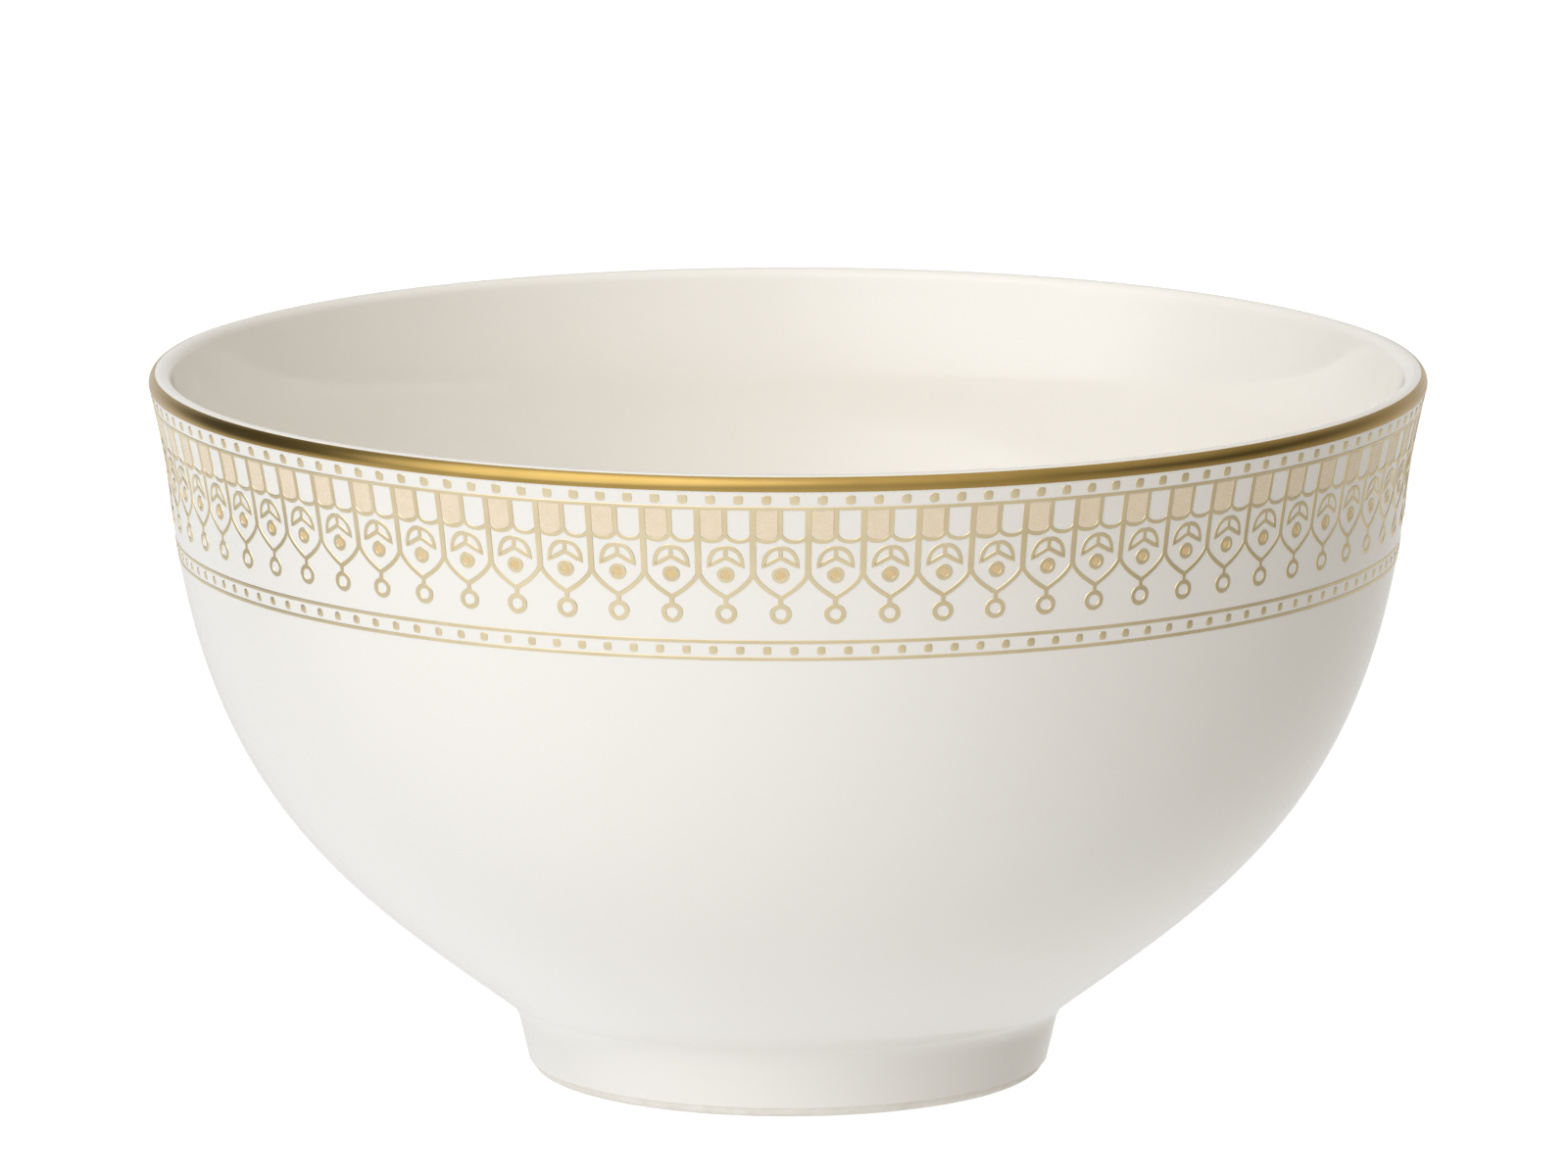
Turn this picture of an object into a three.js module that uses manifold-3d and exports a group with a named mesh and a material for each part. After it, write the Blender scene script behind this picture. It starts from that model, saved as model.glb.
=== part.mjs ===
// Footed porcelain serving bowl, in millimetres, +Z up.
// The origin is on the table under the middle of the bowl, and +Z is the bowl's axis.
// The front of the bowl, where the middle of the front transfer strip lies, faces -Y.
//
// Every coat is a skin of even thickness over one drawn section. The section is a line of
// points (radius, height) that starts on the table outside the foot, climbs the outside,
// crosses the lip and runs down the inside to the middle of the floor. The porcelain is
// always on its left, so a positive offset goes out of the porcelain and a negative one in.
import * as THREE from 'three';
import { mergeVertices } from 'three/addons/utils/BufferGeometryUtils.js';
import Module from 'manifold-3d';

const wasm = await Module();
wasm.setup();

// Overall sizes
const RIM_DIAMETER = 150; // over the gilding
const HEIGHT = 83.5; // table to the crest of the lip

// Lip, which stands out a little past the upright part of the wall
const LIP_THICKNESS = 2.7;
const LIP_LEAN = 13; // degrees out from upright
const LIP_FLARE = 2.3; // the shoulder's radius is this much less than the lip's
const SHOULDER_DROP = 14; // the flare starts this far below the crest

// Wall, outside: a straight start above the foot that curves up to the shoulder
const SHOULDER_SLOPE = 84.5; // degrees up from level
const WALL_START_SLOPE = 37; // degrees up from level
const LOWER_PULL = 0.32; // reach of the lower curve handle, as a share of the wall's span
const UPPER_PULL = 0.5; // reach of the upper one

// Wall, inside: thicker towards the foot, then one soft curve to the middle of the floor
const SHOULDER_THICKNESS = 3;
const HIP_THICKNESS = 4.2;
const HIP_PLACE = 0.24; // where the floor curve leaves the wall, as a share of the wall curve
const BASE_THICKNESS = 4.4;
const FLOOR_HIP_PULL = 0.3; // reach of the floor curve's outer handle, as a share of its span
const FLOOR_MIDDLE_PULL = 0.45; // reach of its level handle at the middle

// Foot ring
const FOOT_DIAMETER = 60.6; // outside, where its wall's line meets the table
const FOOT_OUTER_LEAN = 13; // degrees out from upright, going up
const FOOT_INNER_DIAMETER = 53.2; // where its inner wall's line meets the table
const FOOT_INNER_LEAN = 6; // degrees in from upright, going up
const FOOT_CORNER_HEIGHT = 7.7; // where the foot's line and the wall's line would meet
const FOOT_FILLET = 5; // hollow fillet in that corner
const FOOT_OUTER_EDGE = 1.2; // rounding of the bare edge outside
const FOOT_INNER_EDGE = 0.8; // rounding of the bare edge inside
const SEAT_HEIGHT = 5.8; // where the bowl body sits on the foot ring

// Glaze, gilding and transfer
const GLAZE = 0.25;
const GLAZE_EDGE_HEIGHT = 1.3; // the glaze is wiped off the foot below this height
const RECESS_FILLET = 1.5; // glaze that pools in the corner under the bowl
const PRINT = 0.15; // thickness of the gilding and of the transfer
const LAYER_GAP = 0.05; // left between one skin and the next
const GILDING_DROP = 0.2; // from the crest down to the gilding
const GILDING_WIDTH = 1.6;
const TRANSFER_DROP = 2.3; // from the crest down to the transfer
const TRANSFER_WIDTH = 19.4;
const STRIP_JOINT = 0.3; // between the ends of the two transfer strips

// Steps of the curved stretches
const SEGMENTS = 48; // round the bowl
const FILLET_STEPS = 4;
const WALL_STEPS = 8;
const FLARE_STEPS = 3;
const LIP_STEPS = 3; // on each side of the crest
const FLOOR_STEPS = 5;
const EDGE_STEPS = 2;

const PORCELAIN = { color: 0xf1ede4, roughness: 0.75, metalness: 0 };
const CLEAR_GLAZE = { color: 0xf4f1ea, roughness: 0.12, metalness: 0 };
const BURNISHED_GOLD = { color: 0xd9a943, roughness: 0.25, metalness: 1 };
const PRINTED_GOLD = { color: 0xd8c48c, roughness: 0.4, metalness: 0.8 };

const { cos, sin, tan, PI } = Math;
const { degToRad, lerp } = THREE.MathUtils;
const at = (radius, height) => new THREE.Vector2(radius, height);
const heading = (degrees) => at(cos(degToRad(degrees)), sin(degToRad(degrees)));
const along = (start, direction, distance) => start.clone().addScaledVector(direction, distance);

function arc(centre, radius, fromDegrees, toDegrees, steps) {
  return Array.from({ length: steps + 1 }, (_, i) =>
    along(centre, heading(lerp(fromDegrees, toDegrees, i / steps)), radius));
}

// The corner between two straight legs, rounded: the arc that touches both legs.
function roundedCorner(before, corner, after, radius, steps) {
  const back = before.clone().sub(corner).normalize();
  const ahead = after.clone().sub(corner).normalize();
  const halfAngle = Math.acos(back.dot(ahead)) / 2;
  const middle = back.clone().add(ahead).normalize();
  const centre = along(corner, middle, radius / sin(halfAngle));
  const towardsCorner = THREE.MathUtils.radToDeg(middle.negate().angle());
  const halfTurn = 90 - THREE.MathUtils.radToDeg(halfAngle);
  const side = Math.sign(back.cross(ahead));
  const first = towardsCorner + side * halfTurn;
  return arc(centre, radius, first, towardsCorner - side * halfTurn, steps);
}

// A curve between two points that leaves and arrives along the given directions. The reach
// of each handle is a share of the distance between the points.
function curve(start, startWay, startPull, end, endWay, endPull) {
  const span = start.distanceTo(end);
  return new THREE.CubicBezierCurve(
    start,
    along(start, startWay, startPull * span),
    along(end, endWay, -endPull * span),
    end,
  );
}

// A line moved sideways by a distance: every stretch stays parallel to itself.
function offset(line, distance) {
  const way = (from, to) => to.clone().sub(from).normalize();
  return line.map((point, i) => {
    if (point.x === 0) return at(0, point.y + distance);
    const arriving = i > 0 ? way(line[i - 1], point) : way(point, line[1]);
    const leaving = i < line.length - 1 ? way(point, line[i + 1]) : arriving;
    const middle = arriving.clone().add(leaving).normalize();
    const outward = at(middle.y, -middle.x);
    return along(point, outward, distance / middle.dot(arriving));
  });
}

// The point where the first climbing stretch of a line passes a height, and its index.
function crossing(line, height) {
  const i = line.findIndex((point) => point.y > height);
  const share = (height - line[i - 1].y) / (line[i].y - line[i - 1].y);
  return { i, point: line[i - 1].clone().lerp(line[i], share) };
}

function startingAt(line, height) {
  const { i, point } = crossing(line, height);
  return [point, ...line.slice(i)];
}

function endingAt(line, height) {
  const { i, point } = crossing(line, height);
  return [...line.slice(0, i), point];
}

// The last point of a line drawn back by half a gap.
function shortened(line) {
  const end = line.at(-1);
  const before = line.at(-2);
  const share = LAYER_GAP / 2 / end.distanceTo(before);
  return [...line.slice(0, -1), end.clone().lerp(before, share)];
}

// The glazed section, outside: foot wall, fillet, wall, flare and the outer half of the lip.
const lipRadius = LIP_THICKNESS / 2;
const glazedRimRadius = RIM_DIAMETER / 2 - PRINT - LAYER_GAP;
const lipCentre = at(glazedRimRadius - lipRadius, HEIGHT - lipRadius);
const lipWay = heading(90 - LIP_LEAN);

const footStart = at(FOOT_DIAMETER / 2, 0);
const footWay = heading(90 - FOOT_OUTER_LEAN);
const footCorner = along(footStart, footWay, FOOT_CORNER_HEIGHT / footWay.y);
const wallWay = heading(WALL_START_SLOPE);
const fillet = roundedCorner(
  footStart, footCorner, along(footCorner, wallWay, 1), FOOT_FILLET, FILLET_STEPS);

const shoulder = at(glazedRimRadius - LIP_FLARE, HEIGHT - SHOULDER_DROP);
const shoulderWay = heading(SHOULDER_SLOPE);
const wall = curve(
  fillet.at(-1), wallWay, LOWER_PULL, shoulder, shoulderWay, UPPER_PULL);

function flare(start, end) {
  return curve(start, shoulderWay, 1 / 3, end, lipWay, 1 / 3).getPoints(FLARE_STEPS);
}

const outerLip = [
  ...arc(lipCentre, lipRadius, -LIP_LEAN, 0, 1),
  ...arc(lipCentre, lipRadius, 0, 90, LIP_STEPS).slice(1),
];
const outside = [
  footStart,
  ...fillet,
  ...wall.getPoints(WALL_STEPS).slice(1),
  ...flare(shoulder, outerLip[0]).slice(1),
  ...outerLip.slice(1),
];

// The glazed section, inside: the other half of the lip, the flare, the wall and the floor.
const innerLip = arc(lipCentre, lipRadius, 90, 180 - LIP_LEAN, LIP_STEPS);

function insideOfWall(place) {
  const depth = (place - HIP_PLACE) / (1 - HIP_PLACE);
  const thickness = lerp(HIP_THICKNESS, SHOULDER_THICKNESS, depth);
  const way = wall.getTangent(place);
  return along(wall.getPoint(place), at(-way.y, way.x), thickness);
}

const innerWall = Array.from({ length: WALL_STEPS - 1 }, (_, i) =>
  insideOfWall(lerp(1, HIP_PLACE, i / (WALL_STEPS - 2))));
const hipWay = wall.getTangent(HIP_PLACE).negate();
const floorMiddle = at(0, SEAT_HEIGHT + BASE_THICKNESS);
const floor = curve(
  innerWall.at(-1), hipWay, FLOOR_HIP_PULL, floorMiddle, at(-1, 0), FLOOR_MIDDLE_PULL);
const inside = [
  ...innerLip,
  ...flare(innerWall[0], innerLip.at(-1)).reverse().slice(1),
  ...innerWall.slice(1),
  ...floor.getPoints(FLOOR_STEPS).slice(1),
];

const glazeFace = [...outside, ...inside.slice(1)];
const crest = outside.length - 1;
const glazeBack = offset(glazeFace, -GLAZE);
const porcelainFace = offset(glazeFace, -GLAZE - LAYER_GAP);
const printBack = offset(glazeFace, LAYER_GAP);
const printFace = offset(glazeFace, LAYER_GAP + PRINT);

// A solid of revolution from a section that runs bottom, outside, top, inside. A section
// that doesn't start and end on the axis is closed on itself.
function revolved(section) {
  const closed = section[0].x > 0 ? [...section, section[0]] : section;
  const geometry = new THREE.LatheGeometry(closed, SEGMENTS);
  geometry.rotateX(PI / 2);
  return geometry;
}

function skin(face, back) {
  return revolved([...face, ...[...back].reverse()]);
}

function bowlBody() {
  const surface = startingAt(porcelainFace, SEAT_HEIGHT);
  return revolved([at(0, SEAT_HEIGHT), ...surface]);
}

// The inner face of the foot ring, at a height and a depth behind the bare porcelain.
function footInside(height, depth = 0) {
  const lean = degToRad(FOOT_INNER_LEAN);
  return at(FOOT_INNER_DIAMETER / 2 - height * tan(lean) - depth / cos(lean), height);
}

function footRing() {
  const top = SEAT_HEIGHT - LAYER_GAP;
  const [low, ...outerWall] = endingAt(porcelainFace, top);
  const way = outerWall[0].clone().sub(low).normalize();
  const outerCorner = along(low, way, -low.y / way.y);
  const innerCorner = footInside(0);
  return revolved([
    ...roundedCorner(innerCorner, outerCorner, outerWall[0], FOOT_OUTER_EDGE, EDGE_STEPS),
    ...outerWall,
    footInside(top),
    ...roundedCorner(footInside(top), innerCorner, outerCorner, FOOT_INNER_EDGE, EDGE_STEPS),
  ]);
}

function glazeOutside() {
  const section = (line) => shortened(startingAt(line.slice(0, crest + 1), GLAZE_EDGE_HEIGHT));
  return skin(section(glazeFace), section(glazeBack));
}

function glazeInside() {
  const section = (line) => shortened(line.slice(crest).reverse()).reverse();
  return skin(section(glazeFace), section(glazeBack));
}

function glazeUnderside() {
  const top = SEAT_HEIGHT - LAYER_GAP;
  const ceiling = top - GLAZE;
  const depth = LAYER_GAP + GLAZE;
  const corner = footInside(ceiling, depth);
  const edge = footInside(GLAZE_EDGE_HEIGHT, depth);
  return revolved([
    at(0, ceiling),
    ...roundedCorner(at(0, ceiling), corner, edge, RECESS_FILLET, FILLET_STEPS),
    edge,
    footInside(GLAZE_EDGE_HEIGHT, LAYER_GAP),
    footInside(top, LAYER_GAP),
    at(0, top),
  ]);
}

function printedBand(drop, width) {
  const section = (line) => endingAt(startingAt(line, HEIGHT - drop - width), HEIGHT - drop);
  return skin(section(printFace), section(printBack));
}

function toSolid(geometry) {
  const bare = geometry.clone();
  bare.deleteAttribute('normal');
  bare.deleteAttribute('uv');
  const merged = mergeVertices(bare);
  return new wasm.Manifold(new wasm.Mesh({
    numProp: 3,
    vertProperties: new Float32Array(merged.attributes.position.array),
    triVerts: new Uint32Array(merged.index.array),
  }));
}

function toGeometry(solid) {
  const { vertProperties, triVerts } = solid.getMesh();
  const geometry = new THREE.BufferGeometry();
  geometry.setAttribute('position', new THREE.BufferAttribute(vertProperties, 3));
  geometry.setIndex(new THREE.BufferAttribute(triVerts, 1));
  geometry.computeVertexNormals();
  return geometry;
}

// The half of a ring on the given side of the XZ plane, short of it by half a strip joint.
function halfRing(ring, side) {
  const block = new THREE.BoxGeometry(2 * RIM_DIAMETER, RIM_DIAMETER, 2 * HEIGHT);
  block.translate(0, side * (RIM_DIAMETER + STRIP_JOINT) / 2, HEIGHT);
  return toGeometry(ring.intersect(toSolid(block)));
}

const bowl = new THREE.Group();

function add(name, geometry, look) {
  const mesh = new THREE.Mesh(geometry, new THREE.MeshStandardMaterial(look));
  mesh.name = name;
  bowl.add(mesh);
}

const transferRing = toSolid(printedBand(TRANSFER_DROP, TRANSFER_WIDTH));

add('bowl_body', bowlBody(), PORCELAIN);
add('foot_ring', footRing(), PORCELAIN);
add('glaze_outside', glazeOutside(), CLEAR_GLAZE);
add('glaze_inside', glazeInside(), CLEAR_GLAZE);
add('glaze_underside', glazeUnderside(), CLEAR_GLAZE);
add('rim_gilding', printedBand(GILDING_DROP, GILDING_WIDTH), BURNISHED_GOLD);
add('transfer_strip_front', halfRing(transferRing, -1), PRINTED_GOLD);
add('transfer_strip_back', halfRing(transferRing, 1), PRINTED_GOLD);

export default bowl;
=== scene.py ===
# Looks of the footed porcelain bowl: fine turned surfaces for the porcelain, its glaze and
# its gilding, the printed border in gold and enamel, their materials, and a plain studio.
import bisect
import math

import bpy
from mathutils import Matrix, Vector


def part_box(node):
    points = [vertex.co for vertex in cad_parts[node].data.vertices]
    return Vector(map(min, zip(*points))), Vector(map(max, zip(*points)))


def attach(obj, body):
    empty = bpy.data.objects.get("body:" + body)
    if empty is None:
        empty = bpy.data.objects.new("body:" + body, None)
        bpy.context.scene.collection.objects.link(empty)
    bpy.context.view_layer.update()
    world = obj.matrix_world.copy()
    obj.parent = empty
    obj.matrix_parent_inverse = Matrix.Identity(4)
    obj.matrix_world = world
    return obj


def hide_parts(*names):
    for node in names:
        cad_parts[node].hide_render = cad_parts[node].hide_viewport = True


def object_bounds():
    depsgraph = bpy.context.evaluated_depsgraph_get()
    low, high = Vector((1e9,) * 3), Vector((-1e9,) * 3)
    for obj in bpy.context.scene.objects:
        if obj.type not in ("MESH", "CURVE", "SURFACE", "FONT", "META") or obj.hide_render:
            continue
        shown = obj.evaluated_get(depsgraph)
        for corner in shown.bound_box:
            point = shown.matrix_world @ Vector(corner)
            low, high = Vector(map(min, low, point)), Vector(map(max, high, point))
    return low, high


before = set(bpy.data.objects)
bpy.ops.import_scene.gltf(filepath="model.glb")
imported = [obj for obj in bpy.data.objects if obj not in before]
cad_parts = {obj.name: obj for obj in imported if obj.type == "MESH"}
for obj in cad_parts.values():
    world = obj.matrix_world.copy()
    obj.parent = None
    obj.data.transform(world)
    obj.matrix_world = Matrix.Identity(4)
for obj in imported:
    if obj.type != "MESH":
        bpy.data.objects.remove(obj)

CAD_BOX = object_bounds()
MM = 0.001  # one millimetre in scene units; sizes below are in millimetres and degrees

# ---------------------------------------------------------------- sizes from the frame
HEIGHT = CAD_BOX[1][2] / MM
RIM_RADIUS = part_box("rim_gilding")[1][0] / MM
SEAT_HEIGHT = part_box("bowl_body")[0][2] / MM
GLAZE_EDGE_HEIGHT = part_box("glaze_outside")[0][2] / MM
GILDING_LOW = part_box("rim_gilding")[0][2] / MM
GILDING_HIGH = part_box("rim_gilding")[1][2] / MM
BORDER_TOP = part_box("transfer_strip_front")[1][2] / MM
RECESS_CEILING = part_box("glaze_underside")[0][2] / MM
ENAMEL_SPLIT = BORDER_TOP - 7  # between the enamel tongues and the hearts of the drops

# ---------------------------------------------------------------- the bowl's section
# The same sizes as the part's source has, as the frame's boxes don't show them
GLAZE = 0.25
LAYER_GAP = 0.05
PRINT = 0.15
LIP_THICKNESS = 2.7
LIP_LEAN = 13
LIP_FLARE = 2.3
SHOULDER_DROP = 14
SHOULDER_SLOPE = 84.5
WALL_START_SLOPE = 37
LOWER_PULL = 0.32
UPPER_PULL = 0.5
SHOULDER_THICKNESS = 3
HIP_THICKNESS = 4.2
HIP_PLACE = 0.24
BASE_THICKNESS = 4.4
FLOOR_HIP_PULL = 0.3
FLOOR_MIDDLE_PULL = 0.45
FOOT_RADIUS = 30.3
FOOT_OUTER_LEAN = 13
FOOT_INNER_RADIUS = 26.6
FOOT_INNER_LEAN = 6
FOOT_CORNER_HEIGHT = 7.7
FOOT_FILLET = 5
FOOT_OUTER_EDGE = 1.2
FOOT_INNER_EDGE = 0.8
RECESS_FILLET = 1.5

# Steps of the fine surfaces
SEGMENTS = 444  # round the bowl, six to each repeat of the border
FILLET_STEPS = 14
WALL_STEPS = 60
FLARE_STEPS = 16
LIP_STEPS = 12
FLOOR_STEPS = 40
EDGE_STEPS = 8
SHARP_ANGLE = 38  # edges that bend more than this are shaded as corners


def heading(degrees):
    return Vector((math.cos(math.radians(degrees)), math.sin(math.radians(degrees))))


def arc(centre, radius, from_degrees, to_degrees, steps):
    turns = (from_degrees + (to_degrees - from_degrees) * i / steps for i in range(steps + 1))
    return [centre + radius * heading(turn) for turn in turns]


def rounded_corner(before, corner, after, radius, steps):
    """The corner between two straight legs, rounded: the arc that touches both legs."""
    back = (before - corner).normalized()
    ahead = (after - corner).normalized()
    half_angle = math.acos(back.dot(ahead)) / 2
    middle = (back + ahead).normalized()
    centre = corner + middle * radius / math.sin(half_angle)
    towards_corner = math.degrees(math.atan2(-middle.y, -middle.x))
    side = math.copysign(1, back.x * ahead.y - back.y * ahead.x)
    half_turn = side * (90 - math.degrees(half_angle))
    return arc(centre, radius, towards_corner + half_turn, towards_corner - half_turn, steps)


def bezier(p0, p1, p2, p3, place):
    rest = 1 - place
    return (rest ** 3 * p0 + 3 * rest ** 2 * place * p1
            + 3 * rest * place ** 2 * p2 + place ** 3 * p3)


class Curve:
    """A curve that leaves one point and arrives at another along the given directions."""

    def __init__(self, start, start_way, start_pull, end, end_way, end_pull):
        span = (end - start).length
        self.handles = (
            start, start + start_way * start_pull * span, end - end_way * end_pull * span, end)

    def point(self, place):
        return bezier(*self.handles, place)

    def way(self, place):
        step = 1e-4
        low, high = max(place - step, 0), min(place + step, 1)
        return (self.point(high) - self.point(low)).normalized()

    def points(self, steps):
        return [self.point(i / steps) for i in range(steps + 1)]


def offset(line, distance):
    """A line moved sideways by a distance, positive out of the porcelain."""
    moved = []
    for i, point in enumerate(line):
        if point.x == 0:
            moved.append(Vector((0, point.y + distance)))
            continue
        arriving = (point - line[i - 1]).normalized() if i else (line[1] - point).normalized()
        leaving = (line[i + 1] - point).normalized() if i < len(line) - 1 else arriving
        middle = (arriving + leaving).normalized()
        outward = Vector((middle.y, -middle.x))
        moved.append(point + outward * distance / middle.dot(arriving))
    return moved


def crossing(line, height):
    """The point where the first climbing stretch of a line passes a height, and its index."""
    i = next(i for i, point in enumerate(line) if point.y > height)
    low, high = line[i - 1], line[i]
    return i, low.lerp(high, (height - low.y) / (high.y - low.y))


def starting_at(line, height):
    i, point = crossing(line, height)
    return [point] + line[i:]


def ending_at(line, height):
    i, point = crossing(line, height)
    return line[:i] + [point]


def outside_line():
    """The outside from the foot's rim to the lip's crest, and the curve of its wall."""
    foot_start = Vector((FOOT_RADIUS, 0))
    foot_way = heading(90 - FOOT_OUTER_LEAN)
    corner = foot_start + foot_way * FOOT_CORNER_HEIGHT / foot_way.y
    fillet = rounded_corner(
        foot_start, corner, corner + heading(WALL_START_SLOPE), FOOT_FILLET, FILLET_STEPS)
    wall = Curve(fillet[-1], heading(WALL_START_SLOPE), LOWER_PULL,
                 SHOULDER, heading(SHOULDER_SLOPE), UPPER_PULL)
    lip = arc(LIP_CENTRE, LIP_RADIUS, -LIP_LEAN, 90, LIP_STEPS)
    flare = flare_line(SHOULDER, lip[0])
    return [foot_start] + fillet + wall.points(WALL_STEPS)[1:] + flare[1:] + lip[1:], wall


def flare_line(start, end):
    """The wall between the shoulder and the lip, which leans out towards the lip."""
    way = heading(SHOULDER_SLOPE)
    lip_way = heading(90 - LIP_LEAN)
    return Curve(start, way, 1 / 3, end, lip_way, 1 / 3).points(FLARE_STEPS)


def inside_line(wall):
    """The inside from the lip's crest to the middle of the floor."""
    def behind(place):
        depth = (place - HIP_PLACE) / (1 - HIP_PLACE)
        thickness = HIP_THICKNESS + (SHOULDER_THICKNESS - HIP_THICKNESS) * depth
        way = wall.way(place)
        return wall.point(place) + Vector((-way.y, way.x)) * thickness

    lip = arc(LIP_CENTRE, LIP_RADIUS, 90, 180 - LIP_LEAN, LIP_STEPS)
    wall_line = [behind(1 + (HIP_PLACE - 1) * i / WALL_STEPS) for i in range(WALL_STEPS + 1)]
    flare = flare_line(wall_line[0], lip[-1])[::-1]
    middle = Vector((0, SEAT_HEIGHT + BASE_THICKNESS))
    floor = Curve(wall_line[-1], -wall.way(HIP_PLACE), FLOOR_HIP_PULL,
                  middle, Vector((-1, 0)), FLOOR_MIDDLE_PULL)
    return lip + flare[1:] + wall_line[1:] + floor.points(FLOOR_STEPS)[1:]


LIP_RADIUS = LIP_THICKNESS / 2
GLAZED_RIM_RADIUS = RIM_RADIUS - PRINT - LAYER_GAP
LIP_CENTRE = Vector((GLAZED_RIM_RADIUS - LIP_RADIUS, HEIGHT - LIP_RADIUS))
SHOULDER = Vector((GLAZED_RIM_RADIUS - LIP_FLARE, HEIGHT - SHOULDER_DROP))
OUTSIDE, WALL = outside_line()
GLAZE_FACE = OUTSIDE + inside_line(WALL)[1:]
CREST = len(OUTSIDE) - 1
GLAZE_BACK = offset(GLAZE_FACE, -GLAZE)
PORCELAIN_FACE = offset(GLAZE_FACE, -GLAZE - LAYER_GAP)


# ---------------------------------------------------------------- meshes
def make_piece(name, points, faces, material, slot, nodes):
    """A piece from points in millimetres, which rides the root body in place of nodes."""
    mesh = bpy.data.meshes.new(name)
    mesh.from_pydata([point * MM for point in points], [], faces)
    mesh.polygons.foreach_set("use_smooth", [True] * len(mesh.polygons))
    mesh.set_sharp_from_angle(angle=math.radians(SHARP_ANGLE))
    mesh.materials.append(material)
    mesh.validate()
    piece = bpy.data.objects.new(name, mesh)
    bpy.context.scene.collection.objects.link(piece)
    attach(piece, "root")
    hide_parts(*nodes)


def around(radius, height, turn):
    """A point of the bowl: turn is in radians from the front, -Y, towards +X."""
    return Vector((radius * math.sin(turn), -radius * math.cos(turn), height))


def revolved(section):
    """Points and faces of a solid of revolution. The section runs bottom, outside, top,
    inside; if it doesn't start and end on the axis it is closed on itself."""
    closed = section[0].x > 0
    points, rings = [], []
    for place in section:
        count = SEGMENTS if place.x > 0 else 1
        rings.append((len(points), count))
        points += [around(place.x, place.y, 2 * math.pi * j / SEGMENTS) for j in range(count)]
    faces = []
    pairs = list(zip(rings, rings[1:] + rings[:1]))
    for (low, low_count), (high, high_count) in pairs if closed else pairs[:-1]:
        for j in range(SEGMENTS):
            k = (j + 1) % SEGMENTS
            corners = [low + j % low_count, low + k % low_count,
                       high + k % high_count, high + j % high_count]
            faces.append(list(dict.fromkeys(corners)))
    return points, faces


def skin(face, back):
    return revolved(face + back[::-1])


def foot_inside(height, depth=0):
    """A point of the foot's inner wall, or of a line that runs a depth off it."""
    lean = math.radians(FOOT_INNER_LEAN)
    radius = FOOT_INNER_RADIUS - height * math.tan(lean) - depth / math.cos(lean)
    return Vector((radius, height))


def bowl_body_section():
    return [Vector((0, SEAT_HEIGHT))] + starting_at(PORCELAIN_FACE, SEAT_HEIGHT)


def foot_ring_section():
    top = SEAT_HEIGHT - LAYER_GAP
    low, *outer_wall = ending_at(PORCELAIN_FACE, top)
    way = (outer_wall[0] - low).normalized()
    outer_corner = low - way * low.y / way.y
    inner_corner = foot_inside(0)
    return (
        rounded_corner(inner_corner, outer_corner, outer_wall[0], FOOT_OUTER_EDGE, EDGE_STEPS)
        + outer_wall
        + [foot_inside(top)]
        + rounded_corner(foot_inside(top), inner_corner, outer_corner, FOOT_INNER_EDGE,
                         EDGE_STEPS))


def glaze_outside_lines():
    face = starting_at(GLAZE_FACE[:CREST + 1], GLAZE_EDGE_HEIGHT)
    back = starting_at(GLAZE_BACK[:CREST + 1], GLAZE_EDGE_HEIGHT)
    return face, back


def glaze_underside_section():
    top = SEAT_HEIGHT - LAYER_GAP
    depth = LAYER_GAP + GLAZE
    corner = foot_inside(RECESS_CEILING, depth)
    edge = foot_inside(GLAZE_EDGE_HEIGHT, depth)
    middle = Vector((0, RECESS_CEILING))
    return (
        [middle]
        + rounded_corner(middle, corner, edge, RECESS_FILLET, FILLET_STEPS)
        + [edge, foot_inside(GLAZE_EDGE_HEIGHT, LAYER_GAP), foot_inside(top, LAYER_GAP),
           Vector((0, top))])


# ---------------------------------------------------------------- materials
TONE_PLACES = (0.3, 0.7)  # where along the noise a tone is at its dark and its light end
CERAMIC_IOR = 1.5


def put(tree, socket, value):
    """Link a socket to another one, or set its value."""
    if isinstance(value, bpy.types.NodeSocket):
        tree.links.new(value, socket)
    else:
        socket.default_value = value


def add_node(tree, kind, inputs=None, **settings):
    node = tree.nodes.new(kind)
    for key, value in settings.items():
        setattr(node, key, value)
    for key, value in (inputs or {}).items():
        put(tree, node.inputs[key], value)
    return node


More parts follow.
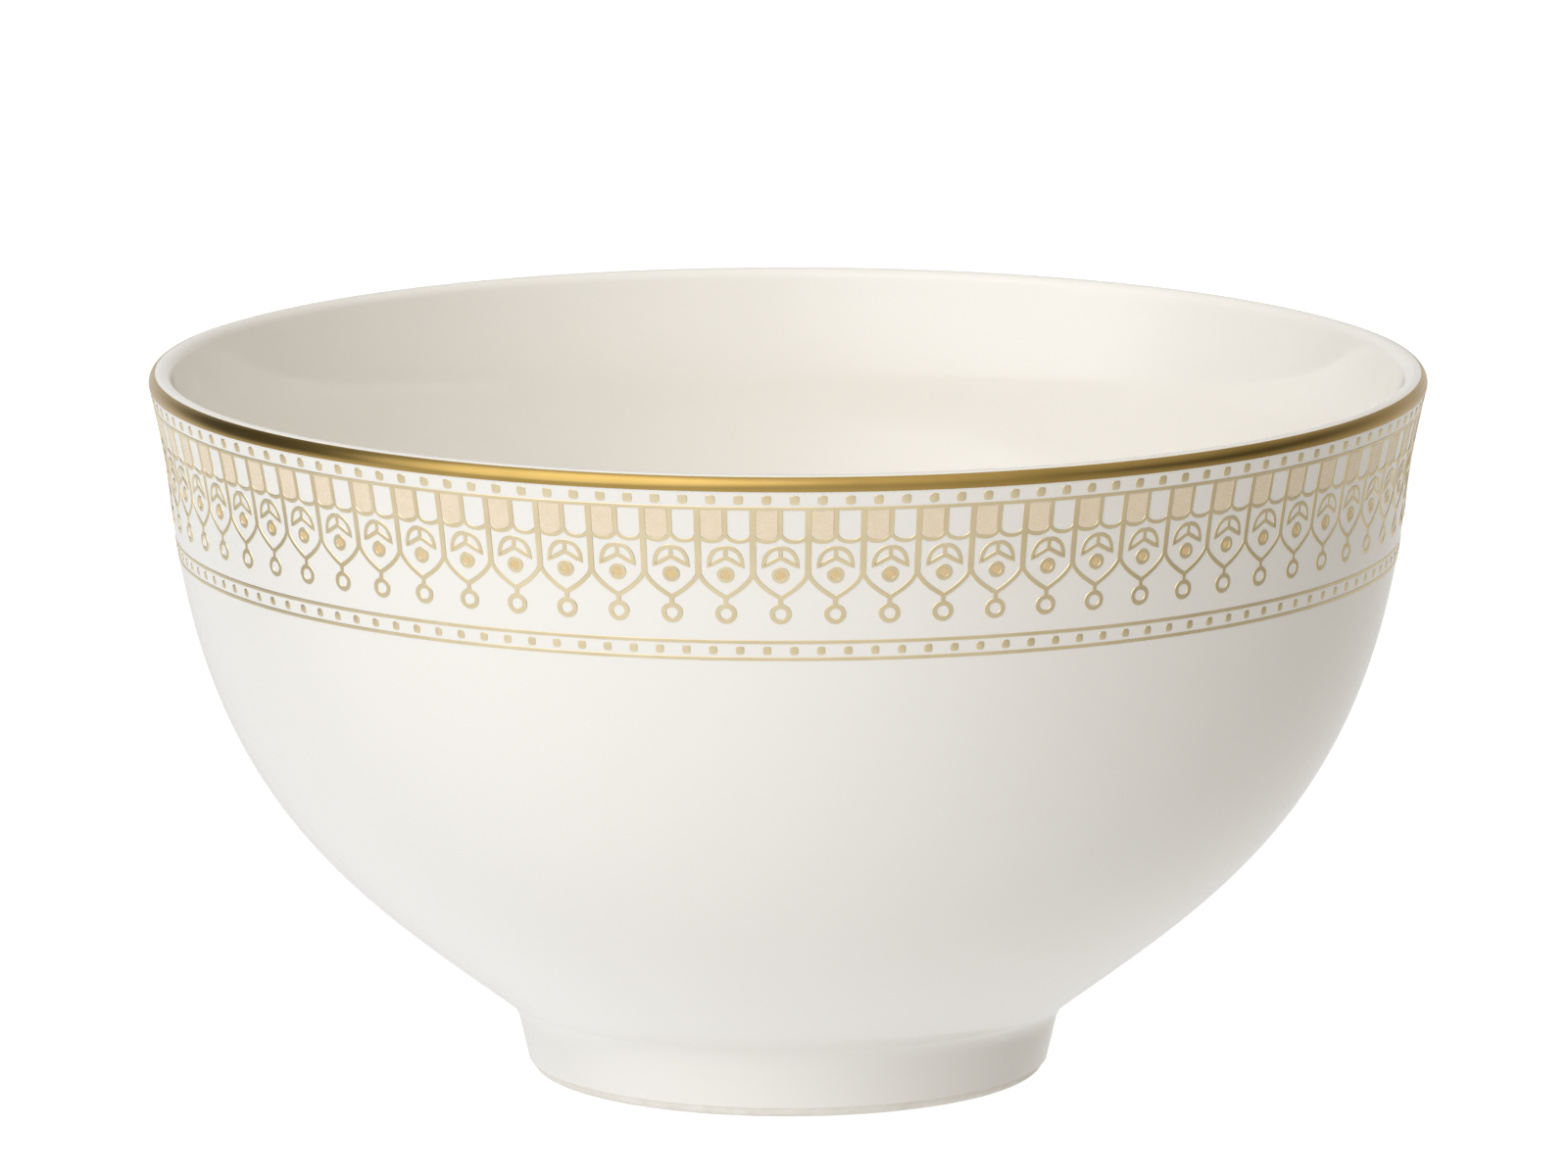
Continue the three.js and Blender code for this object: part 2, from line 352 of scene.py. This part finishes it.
class Nodes:
    """A short way to write a material's nodes."""

    def __init__(self, name):
        self.material = bpy.data.materials.new(name)
        self.material.use_nodes = True
        self.tree = self.material.node_tree
        self.shader = self.tree.nodes["Principled BSDF"]

    def add(self, kind, inputs=None, **settings):
        return add_node(self.tree, kind, inputs, **settings)

    def set(self, **inputs):
        for key, value in inputs.items():
            put(self.tree, self.shader.inputs[key.replace("_", " ")], value)

    def place(self):
        return self.add("ShaderNodeTexCoord").outputs["Object"]

    def stretched(self, scale):
        return self.add("ShaderNodeMapping", {"Vector": self.place(), "Scale": scale}).outputs[0]

    def noise(self, scale, detail, vector=None):
        return self.add("ShaderNodeTexNoise", {
            "Vector": vector or self.place(), "Scale": scale, "Detail": detail}).outputs["Fac"]

    def tone(self, scale, detail, dark, light):
        """A colour that wanders from dark to light by a noise."""
        node = self.add("ShaderNodeValToRGB", {"Fac": self.noise(scale, detail)})
        for element, place, colour in zip(node.color_ramp.elements, TONE_PLACES, (dark, light)):
            element.position = place
            element.color = (*colour, 1)
        return node.outputs["Color"]

    def range(self, factor, low, high):
        return self.add("ShaderNodeMapRange", {
            "Value": factor, "To Min": low, "To Max": high}).outputs["Result"]

    def bump(self, *layers):
        """Bump layers of (height socket, depth in metres), one on another."""
        normal = None
        for height, depth in layers:
            inputs = {"Height": height, "Distance": depth, "Strength": 1.0}
            if normal:
                inputs["Normal"] = normal
            normal = self.add("ShaderNodeBump", inputs).outputs["Normal"]
        self.set(Normal=normal)


def glazed_porcelain():
    """White porcelain under a clear gloss glaze: warm white, gently wavy, nearly mirror."""
    nodes = Nodes("glazed_porcelain")
    nodes.set(
        Base_Color=nodes.tone(22, 3, (0.935, 0.905, 0.848), (0.945, 0.918, 0.864)),
        Roughness=nodes.range(nodes.noise(60, 3), 0.05, 0.09),
        IOR=CERAMIC_IOR,
        Subsurface_Weight=0.12,
        Subsurface_Radius=(1.0, 0.85, 0.65),
        Subsurface_Scale=1.5 * MM)
    nodes.bump((nodes.noise(70, 1), 0.05 * MM), (nodes.noise(900, 1), 0.0012 * MM))
    return nodes.material


def bare_porcelain():
    """Unglazed fired porcelain: matt, finely grained and a little uneven in tone."""
    nodes = Nodes("bare_porcelain")
    grain = nodes.noise(2600, 4)
    nodes.set(
        Base_Color=nodes.tone(500, 5, (0.80, 0.76, 0.69), (0.88, 0.85, 0.79)),
        Roughness=nodes.range(grain, 0.7, 0.9),
        IOR=CERAMIC_IOR)
    nodes.bump((grain, 0.03 * MM))
    return nodes.material


def burnished_gold():
    """Fired gold rubbed bright, with fine marks that run round the rim."""
    nodes = Nodes("burnished_gold")
    marks = nodes.noise(1, 3, nodes.stretched((60, 60, 9000)))
    nodes.set(
        Base_Color=nodes.tone(90, 4, (0.45, 0.305, 0.09), (0.53, 0.36, 0.12)),
        Metallic=1.0,
        Roughness=nodes.range(marks, 0.17, 0.30))
    nodes.bump((marks, 0.004 * MM))
    return nodes.material


def printed_gold():
    """Fired gold of the printed lines: paler and more satin than the rim."""
    nodes = Nodes("printed_gold")
    grain = nodes.noise(4000, 3)
    nodes.set(
        Base_Color=nodes.tone(150, 4, (0.78, 0.66, 0.425), (0.88, 0.765, 0.525)),
        Metallic=1.0,
        Roughness=nodes.range(grain, 0.28, 0.44))
    nodes.bump((grain, 0.004 * MM))
    return nodes.material


def peach_enamel():
    """Pale peach overglaze enamel, satin and a little uneven where it was printed; the
    hearts of the drops, which lie lower, are a deeper ochre."""
    nodes = Nodes("peach_enamel")
    tongue = nodes.tone(900, 3, (0.83, 0.70, 0.51), (0.87, 0.745, 0.57))
    heart = nodes.tone(1200, 3, (0.74, 0.53, 0.25), (0.80, 0.60, 0.32))
    height = nodes.add("ShaderNodeSeparateXYZ", {"Vector": nodes.place()}).outputs["Z"]
    low = nodes.add("ShaderNodeMath", {0: height, 1: ENAMEL_SPLIT * MM},
                    operation="LESS_THAN").outputs[0]
    mixed = nodes.add("ShaderNodeMix", {0: low, 6: tongue, 7: heart}, data_type="RGBA")
    nodes.set(
        Base_Color=mixed.outputs[2],
        Roughness=nodes.range(nodes.noise(2500, 2), 0.2, 0.34),
        IOR=CERAMIC_IOR)
    nodes.bump((nodes.noise(3000, 2), 0.003 * MM))
    return nodes.material


GLAZED = glazed_porcelain()
BARE = bare_porcelain()
RIM_GOLD = burnished_gold()
LINE_GOLD = printed_gold()
PEACH = peach_enamel()


# ---------------------------------------------------------------- printed border
REPEATS = 74
STRIP_REPEATS = REPEATS // 2
HALF_PITCH = 3.08  # half a repeat, measured along the widest part of the border
LAY = REPEATS * 2 * HALF_PITCH / (2 * math.pi)  # millimetres along the border per radian
SUNK = 0.03  # how far a printed piece reaches into the glaze
STRIP_JOINT = 0.1  # between the thin lines of the two strips

# Heights of the border's rows, down from its top
BEADS = -0.48
TOP_LINE = -1.5
TONGUE_CUSP = -4.15
TONGUE_FOOT = -5.4
LEAF_TOP = -6.15
LEAF_JOIN = -7.3
LEAF_TIP = -8.22
DROP = -9.32
ARCH_SPRING = -8.75
ARCH_TIP = -12.0
PENDANT = -13.85
LOWER_LINE = -17.15
LOWER_BEADS = -18.15
LAST_LINE = -19.14

# Widths and radii of what is printed
BEAD_RADIUS = 0.56
LOWER_BEAD_RADIUS = 0.5
EDGE_BAR = 0.76
MIDDLE_BAR = 0.6
RULE = 0.48
ARCH_STROKE = 0.57
TONGUE_STROKE = 0.5
LEAF_STROKE = 0.54
PENDANT_RADIUS = 0.9
PENDANT_STROKE = 0.6
DROP_RADIUS = 0.72
DROP_STROKE = 0.5
CUSP_LAP = 0.62  # how far a middle bar covers the joined ends of its tongue feet
SPRING_LAP = 0.75  # how far an edge bar covers the joined ends of its arches
STEM_LAP = 0.2  # how far the leaves' stem runs on below their join
PENDANT_STRETCH = 1.06
DROP_STRETCH = 1.05
ENAMEL_LAP = 0.03  # how far the enamel runs in under the gold round it

# Handles of an arch's curve: straight down from its spring, then out by a share of half a
# repeat and up from its tip
ARCH_RUN = 1.2
ARCH_FULLNESS = 0.45
ARCH_RISE = 0.75

# Heights over the glaze. Shapes that cross differ in height, or a bar covers their meeting.
RULE_LIFT = 0.047
LEFT_LEAF_LIFT = 0.050
RIGHT_LEAF_LIFT = 0.053
STEM_LIFT = 0.056
TONGUE_LIFT = 0.056
ARCH_LIFT = 0.059
BAR_LIFT = 0.062
PENDANT_LIFT = 0.065
BEAD_LIFT = 0.07
GILDING_LIFT = 0.07
ENAMEL_LIFT = 0.04
HEART_LIFT = 0.05
BEVEL = 0.07
ENAMEL_BEVEL = 0.06
DOME = ((0.9, 0.6), (0.6, 0.92), (0.2, 1.0))  # shares of a bead's radius and of its height
SHARPEST_CORNER = 0.4  # cosine past which a corner's point is cut short

HEIGHTS = [point.y for point in OUTSIDE]
NORMALS = [(outer - inner).normalized() for outer, inner in zip(offset(OUTSIDE, 1), OUTSIDE)]


def glaze_at(height):
    """Radius, and the outward direction, of the glazed outside at a height."""
    i = min(max(bisect.bisect(HEIGHTS, height), 1), len(HEIGHTS) - 1)
    low, high = OUTSIDE[i - 1], OUTSIDE[i]
    share = (height - low.y) / (high.y - low.y)
    return low.lerp(high, share).x, NORMALS[i - 1].lerp(NORMALS[i], share)



def on_bowl(across, down, lift, turn):
    """A point of the border: across and down in millimetres within the repeat at a turn."""
    radius, normal = glaze_at(BORDER_TOP + down)
    return around(radius + normal.x * lift, BORDER_TOP + down + normal.y * lift,
                  turn + across / LAY)


class Print:
    """Flat shapes of one repeat of the border, each a thin closed slab."""

    def __init__(self):
        self.points = []
        self.faces = []

    def slab(self, rings, caps):
        """Rings of (across, down, lift) points round a shape, from its sunk edge to its
        top; caps are faces over the last ring, as lists of indices within the ring."""
        start = len(self.points)
        count = len(rings[0])
        for ring in rings:
            self.points += ring
        for level in range(len(rings) - 1):
            low = start + level * count
            high = low + count
            for j in range(count):
                k = (j + 1) % count
                self.faces.append([low + j, low + k, high + k, high + j])
        top = start + (len(rings) - 1) * count
        for cap in caps:
            self.faces.append([top + j for j in cap])
            self.faces.append([start + j for j in reversed(cap)])

    def stroke(self, line, width, lift):
        """An open line of even width with square ends."""
        left, right = sides(line, width)
        inner_left, inner_right = sides(line, width - 2 * BEVEL)
        base = right + left[::-1]
        top = inner_right + inner_left[::-1]
        count = len(line)
        caps = [[i, i + 1, 2 * count - 2 - i, 2 * count - 1 - i] for i in range(count - 1)]
        self.slab([[(*p, -SUNK) for p in base], [(*p, lift) for p in top]], caps)

    def ring(self, across, down, radius, width, lift, stretch, steps=28):
        """A closed ring of even width."""
        def circle(r, height):
            return [(across + stretch * r * math.sin(a), down - r * math.cos(a), height)
                    for a in (2 * math.pi * j / steps for j in range(steps))]

        start = len(self.points)
        outer, inner = radius + width / 2, radius - width / 2
        rings = [circle(outer, -SUNK), circle(outer - BEVEL, lift),
                 circle(inner + BEVEL, lift), circle(inner, -SUNK)]
        for ring in rings:
            self.points += ring
        for level in range(4):
            low = start + level * steps
            high = start + (level + 1) % 4 * steps
            for j in range(steps):
                k = (j + 1) % steps
                self.faces.append([low + j, low + k, high + k, high + j])

    def area(self, outline, lift):
        """A filled shape with an outline that runs anticlockwise."""
        inner = inset(outline, ENAMEL_BEVEL)
        cap = list(range(len(outline)))
        self.slab([[(*p, -SUNK) for p in outline], [(*p, lift) for p in inner]], [cap])

    def bead(self, across, down, radius, lift, power=4.0, steps=20):
        """A small dot with a domed top: round for a power of 2, squarish for more."""
        def ring(share, height):
            out = []
            for j in range(steps):
                a = 2 * math.pi * j / steps
                c, s = math.sin(a), -math.cos(a)
                r = share * radius / (abs(c) ** power + abs(s) ** power) ** (1 / power)
                out.append((across + r * c, down + r * s, height))
            return out

        rings = [ring(1, -SUNK)] + [ring(share, lift * climb) for share, climb in DOME]
        self.slab(rings, [list(range(steps))])


def sides(line, width):
    """The lines half a width to the left and right of a line of (across, down) points."""
    points = [Vector(p) for p in line]
    left, right = [], []
    for i, point in enumerate(points):
        arriving = (point - points[i - 1]).normalized() if i else None
        leaving = (points[i + 1] - point).normalized() if i < len(points) - 1 else None
        arriving = arriving or leaving
        leaving = leaving or arriving
        middle = (arriving + leaving).normalized()
        across = Vector((-middle.y, middle.x)) * width / 2 / max(middle.dot(arriving), SHARPEST_CORNER)
        left.append(tuple(point + across))
        right.append(tuple(point - across))
    return left, right


def inset(outline, distance):
    """A closed anticlockwise outline drawn in by a distance."""
    points = [Vector(p) for p in outline]
    moved = []
    for i, point in enumerate(points):
        arriving = (point - points[i - 1]).normalized()
        leaving = (points[(i + 1) % len(points)] - point).normalized()
        middle = (arriving + leaving).normalized()
        inward = Vector((-middle.y, middle.x))
        moved.append(tuple(point + inward * distance / max(middle.dot(arriving), SHARPEST_CORNER)))
    return moved


def line_between(start, end, steps):
    return [(start[0] + (end[0] - start[0]) * i / steps, start[1] + (end[1] - start[1]) * i / steps)
            for i in range(steps + 1)]


def bend(p0, p1, p2, p3, steps):
    handles = [Vector(p) for p in (p0, p1, p2, p3)]
    return [tuple(bezier(*handles, i / steps)) for i in range(steps + 1)]


def tongue_foot(left, right, ends, lowest, power=2.2, steps=22):
    """The rounded foot of a tongue: a full curve that leaves both sides straight down."""
    half = (right - left) / 2
    line = []
    for i in range(steps + 1):
        turn = math.pi * i / steps
        across = math.copysign(abs(math.cos(turn)) ** (2 / power), -math.cos(turn))
        down = math.sin(turn) ** (2 / power) if 0 < i < steps else 0
        line.append(((left + right) / 2 + half * across, ends + (lowest - ends) * down))
    return line


def mirrored(line):
    return [(-across, down) for across, down in line]


def gold_repeat():
    """The gold of one repeat: beads, bars, tongue feet, leaves, drop, arch and pendant."""
    gold = Print()
    half = HALF_PITCH
    for place in (-half / 2, half / 2):
        gold.bead(place, BEADS, BEAD_RADIUS, BEAD_LIFT)
        gold.bead(place, LOWER_BEADS, LOWER_BEAD_RADIUS, BEAD_LIFT)
    middle_bar = line_between((0, TOP_LINE), (0, TONGUE_CUSP - CUSP_LAP), steps=9)
    gold.stroke(middle_bar, MIDDLE_BAR, BAR_LIFT)
    edge_bar = line_between((-half, TOP_LINE), (-half, ARCH_SPRING - SPRING_LAP), steps=17)
    gold.stroke(edge_bar, EDGE_BAR, BAR_LIFT)
    for left in (-half, 0):
        foot = tongue_foot(left, left + half, TONGUE_CUSP, TONGUE_FOOT)
        gold.stroke(foot, TONGUE_STROKE, TONGUE_LIFT)
    arch = bend((-half, ARCH_SPRING), (-half, ARCH_SPRING - ARCH_RUN),
                (-half * ARCH_FULLNESS, ARCH_TIP + ARCH_RISE), (0, ARCH_TIP), steps=18)
    gold.stroke(arch + mirrored(arch)[::-1][1:], ARCH_STROKE, ARCH_LIFT)
    hanger = line_between((0, ARCH_TIP), (0, PENDANT + PENDANT_RADIUS), steps=3)
    gold.stroke(hanger, MIDDLE_BAR, BAR_LIFT)
    gold.ring(0, PENDANT, PENDANT_RADIUS, PENDANT_STROKE, PENDANT_LIFT, PENDANT_STRETCH)
    gold.ring(0, DROP, DROP_RADIUS, DROP_STROKE, BAR_LIFT, DROP_STRETCH)
    leaf = leaf_line()
    gold.stroke(leaf, LEAF_STROKE, LEFT_LEAF_LIFT)
    gold.stroke(mirrored(leaf), LEAF_STROKE, RIGHT_LEAF_LIFT)
    stem = line_between((0, LEAF_TOP), (0, LEAF_JOIN - STEM_LAP), steps=4)
    gold.stroke(stem, LEAF_STROKE, STEM_LIFT)
    return gold


def leaf_line():
    """The left leaf's outline, from the root over the back to the tip and home below."""
    # Each curve is given by its start, two handles and its end
    root = (-0.05, LEAF_TOP)
    tip = (-1.88, LEAF_TIP)
    back = bend(root, (-1.1, LEAF_TOP + 0.05), (-1.85, LEAF_TOP - 0.8), tip, 14)
    belly = bend(tip, (-1.35, LEAF_TIP + 0.12), (-0.7, LEAF_JOIN - 0.3), (0, LEAF_JOIN), 12)
    return back + belly[1:]


def gold_lines():
    """The three thin lines of a strip, which run on through its repeats."""
    gold = Print()
    reach = STRIP_REPEATS * HALF_PITCH - STRIP_JOINT / 2
    for down in (TOP_LINE, LOWER_LINE, LAST_LINE):
        line = line_between((-reach, down), (reach, down), steps=STRIP_REPEATS * 6)
        gold.stroke(line, RULE, RULE_LIFT)
    return gold


def peach_repeat():
    """The enamel of one repeat: the left tongue and the heart of the drop."""
    peach = Print()
    left = -HALF_PITCH + EDGE_BAR / 2 - ENAMEL_LAP
    right = -MIDDLE_BAR / 2 + ENAMEL_LAP
    lowest = TONGUE_FOOT + TONGUE_STROKE / 2 - ENAMEL_LAP
    top = TOP_LINE - RULE / 2 + ENAMEL_LAP
    outline = tongue_foot(left, right, TONGUE_CUSP, lowest) + [(right, top), (left, top)]
    peach.area(outline, ENAMEL_LIFT)
    peach.bead(0, DROP, DROP_RADIUS - DROP_STROKE / 2 + ENAMEL_LAP, HEART_LIFT, power=2)
    return peach


def strip_piece(name, repeat, first, lines, material, slot, node):
    """A strip of the border: its repeats from the first on, and any lines that run through."""
    points, faces = [], []

    def lay(shape, turn):
        start = len(points)
        points.extend(on_bowl(*point, turn) for point in shape.points)
        faces.extend([start + i for i in face] for face in shape.faces)

    for k in range(first, first + STRIP_REPEATS):
        lay(repeat, 2 * math.pi * k / REPEATS)
    if lines:
        lay(lines, 2 * math.pi * (first + (STRIP_REPEATS - 1) / 2) / REPEATS)
    make_piece(name, points, faces, material, slot, [node])


# ---------------------------------------------------------------- the pieces
make_piece("porcelain_body", *revolved(bowl_body_section()), BARE, "bare_porcelain",
           ["bowl_body"])
make_piece("porcelain_foot", *revolved(foot_ring_section()), BARE, "bare_porcelain",
           ["foot_ring"])
make_piece("glaze_coat_outside", *skin(*glaze_outside_lines()), GLAZED, "clear_glaze",
           ["glaze_outside"])
make_piece("glaze_coat_inside", *skin(GLAZE_FACE[CREST:], GLAZE_BACK[CREST:]), GLAZED,
           "clear_glaze", ["glaze_inside"])
make_piece("glaze_coat_underside", *revolved(glaze_underside_section()), GLAZED,
           "clear_glaze", ["glaze_underside"])


def gilding_lines():
    """The gilding's face and back, both cut off level at its lower and upper edge."""
    def between(line):
        return ending_at(starting_at(line, GILDING_LOW), GILDING_HIGH)

    return between(offset(GLAZE_FACE, GILDING_LIFT)), between(offset(GLAZE_FACE, -SUNK))


make_piece("gilded_band", *skin(*gilding_lines()), RIM_GOLD, "burnished_gold", ["rim_gilding"])

GOLD = gold_repeat()
GOLD_LINES = gold_lines()
ENAMEL = peach_repeat()
FIRST_FRONT = -(STRIP_REPEATS - 1) // 2
for side, first in (("front", FIRST_FRONT), ("back", FIRST_FRONT + STRIP_REPEATS)):
    node = f"transfer_strip_{side}"
    strip_piece(f"border_gold_{side}", GOLD, first, GOLD_LINES, LINE_GOLD, "printed_gold", node)
    strip_piece(f"border_enamel_{side}", ENAMEL, first, None, PEACH, "peach_enamel", node)


# ---------------------------------------------------------------- studio
PAPER_HALF = 6.0  # metres
PAPER_GREY = 0.25
PAPER_ROUGHNESS = 0.9
PAPER_GLOW = 0.9

# Levels of the studio's light by direction: azimuth from the front towards +X, elevation,
# the cosines of the angle off at which the change starts and ends, and the levels there
FRONT = (-50, 0, -0.75, 0.85, 0.35, 0.74)  # the whole sky, from the back to the left front
LEFT_FLAG = (-108, 20, 0.66, 0.94, 1.0, 0.15)  # dark card, behind on the left
RIGHT_FLAG = (88, 30, 0.68, 0.93, 1.0, 0.33)  # dark card on the right
SOFTBOX = (-43, 31, 0.66, 0.965, 0.0, 1.12)
OVERHEAD = (50, 78, 0.3, 0.95, 0.0, 0.42)
TABLE = (-20, -90, 0.1, 0.95, 0.0, 0.3)  # light thrown up by the table
FAR_TABLE = (180, -20, 0.45, 0.95, 0.0, 0.4)
WARM_SIDE = (90, 20, -0.3, 0.7, 0.0, 1.0)  # how far the light is WARM and not white
WHITE = (1, 1, 1, 1)
WARM = (1, 0.955, 0.88, 1)


def stage_floor():
    """A wide sheet of white paper, lit so that the background is plain white. The camera
    alone sees it: the light that it throws up is in the studio's world."""
    mesh = bpy.data.meshes.new("studio_floor")
    corners = [(-1, -1), (1, -1), (1, 1), (-1, 1)]
    mesh.from_pydata([(x * PAPER_HALF, y * PAPER_HALF, 0) for x, y in corners], [], [(0, 1, 2, 3)])
    floor = bpy.data.objects.new("studio_floor", mesh)
    bpy.context.scene.collection.objects.link(floor)
    nodes = Nodes("studio_paper")
    nodes.set(
        Base_Color=(PAPER_GREY, PAPER_GREY, PAPER_GREY, 1),
        Roughness=PAPER_ROUGHNESS,
        Specular_IOR_Level=0.0,
        Emission_Color=WHITE,
        Emission_Strength=PAPER_GLOW)
    mesh.materials.append(nodes.material)
    floor.visible_diffuse = False
    floor.visible_glossy = False
    floor.visible_shadow = False


def studio_world():
    """Soft light from all round: brightest from a softbox at the left front, dimmer and
    warmer to the right, with a dark card on each side."""
    world = bpy.data.worlds.new("studio")
    bpy.context.scene.world = world
    world.use_nodes = True
    tree = world.node_tree
    background = tree.nodes["Background"]
    direction = add_node(tree, "ShaderNodeTexCoord").outputs["Generated"]

    def towards(azimuth, elevation, start, end, low, high):
        """A level that goes from low to high as a direction nears a place in the sky."""
        turn, climb = math.radians(azimuth), math.radians(elevation)
        axis = around(math.cos(climb), math.sin(climb), turn)
        near = add_node(tree, "ShaderNodeVectorMath", {0: direction, 1: axis},
                        operation="DOT_PRODUCT").outputs["Value"]
        return add_node(tree, "ShaderNodeMapRange", {
            "Value": near, "From Min": start, "From Max": end, "To Min": low,
            "To Max": high}, interpolation_type="SMOOTHSTEP").outputs["Result"]

    def maths(operation, first, second):
        return add_node(tree, "ShaderNodeMath", {0: first, 1: second},
                        operation=operation).outputs[0]

    level = towards(*FRONT)
    for flag in (LEFT_FLAG, RIGHT_FLAG):
        level = maths("MULTIPLY", level, towards(*flag))
    for light in (SOFTBOX, OVERHEAD, TABLE, FAR_TABLE):
        level = maths("ADD", level, towards(*light))
    tint = add_node(tree, "ShaderNodeMix", {0: towards(*WARM_SIDE), 6: WHITE, 7: WARM},
                    data_type="RGBA").outputs[2]
    tree.links.new(tint, background.inputs["Color"])
    tree.links.new(level, background.inputs["Strength"])


stage_floor()
studio_world()

# ---------------------------------------------------------------- camera
CAMERA_DISTANCE = 1.6252
CAMERA_HEIGHT = 0.355
CAMERA_PITCH = 10.387  # degrees down
CAMERA_SWING = 0.66  # degrees round the bowl, towards +X
SENSOR_WIDTH = 36
LENS = 322.8
SHIFT = -0.0026
CLIP_END = 50

camera_data = bpy.data.cameras.new("camera")
camera_data.sensor_width = SENSOR_WIDTH
camera_data.lens = LENS
camera_data.shift_x = SHIFT
camera_data.clip_end = CLIP_END
camera = bpy.data.objects.new("camera", camera_data)
bpy.context.scene.collection.objects.link(camera)
swing = math.radians(CAMERA_SWING)
camera.location = around(CAMERA_DISTANCE, CAMERA_HEIGHT, swing)
camera.rotation_euler = (math.radians(90 - CAMERA_PITCH), 0, swing)
bpy.context.scene.camera = camera
bpy.context.scene.view_settings.view_transform = "Standard"
